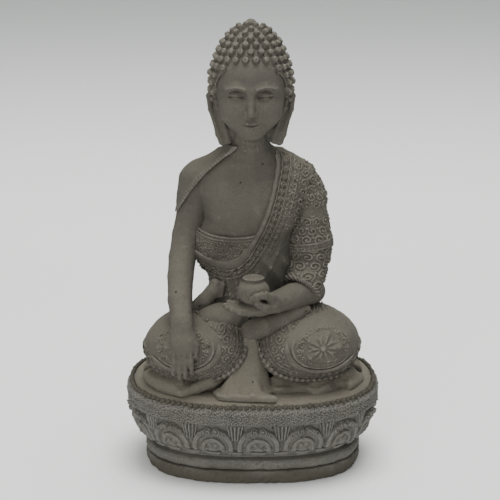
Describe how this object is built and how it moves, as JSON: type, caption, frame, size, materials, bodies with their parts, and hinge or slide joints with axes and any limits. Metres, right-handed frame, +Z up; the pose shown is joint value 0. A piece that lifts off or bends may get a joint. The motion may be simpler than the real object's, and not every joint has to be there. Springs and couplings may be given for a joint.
{
  "type": "buddha statue",
  "caption": "Seated robed figure holding a round bowl in the lap, one hand reaching down over the shin, on an oval lotus-petal base with a flat underside.",
  "frame": {"origin": "middle of the flat underside, on the surface it stands on", "axes": "+Z up, -Y is the way the figure faces, +X towards the figure's left hand"},
  "size_m": [0.1148, 0.0922, 0.203],
  "materials": {
    "concrete": "matte cast cement, grey-brown with warm dust on the upward surfaces",
    "concrete_base": "matte cast cement, cooler grey with pale worn ridges"
  },
  "bodies": {
    "root": {"plinth_foot": "concrete_base", "plinth_band": "concrete_base", "plinth_groove": "concrete_base", "lotus_drum": "concrete_base", "lotus_petals": "concrete_base", "petal_tips": "concrete_base", "petal_hearts": "concrete_base", "frieze_band": "concrete_base", "seat_deck": "concrete", "bead_rim": "concrete_base", "lap": "concrete", "right_leg": "concrete", "left_leg": "concrete", "right_foot": "concrete", "left_foot": "concrete", "robe_body": "concrete", "bare_chest": "concrete", "robe_edge": "concrete", "chest_sash": "concrete", "right_upper_arm": "concrete", "right_forearm": "concrete", "shoulder_drape": "concrete", "right_palm": "concrete", "right_fingers": "concrete", "alms_bowl": "concrete", "left_upper_sleeve": "concrete", "sleeve_band": "concrete", "left_lower_sleeve": "concrete", "sleeve_cuff": "concrete", "left_forearm": "concrete", "left_palm": "concrete", "left_thumb": "concrete", "right_medallion": "concrete", "left_medallion": "concrete", "right_hem": "concrete", "left_hem": "concrete", "front_cloth": "concrete", "right_train": "concrete", "left_train": "concrete", "back_train": "concrete", "neck": "concrete", "hair_cap": "concrete", "head": "concrete", "right_ear": "concrete", "left_ear": "concrete", "crown_mound": "concrete", "finial": "concrete", "hair_curls": "concrete"}
  },
  "joints": []
}
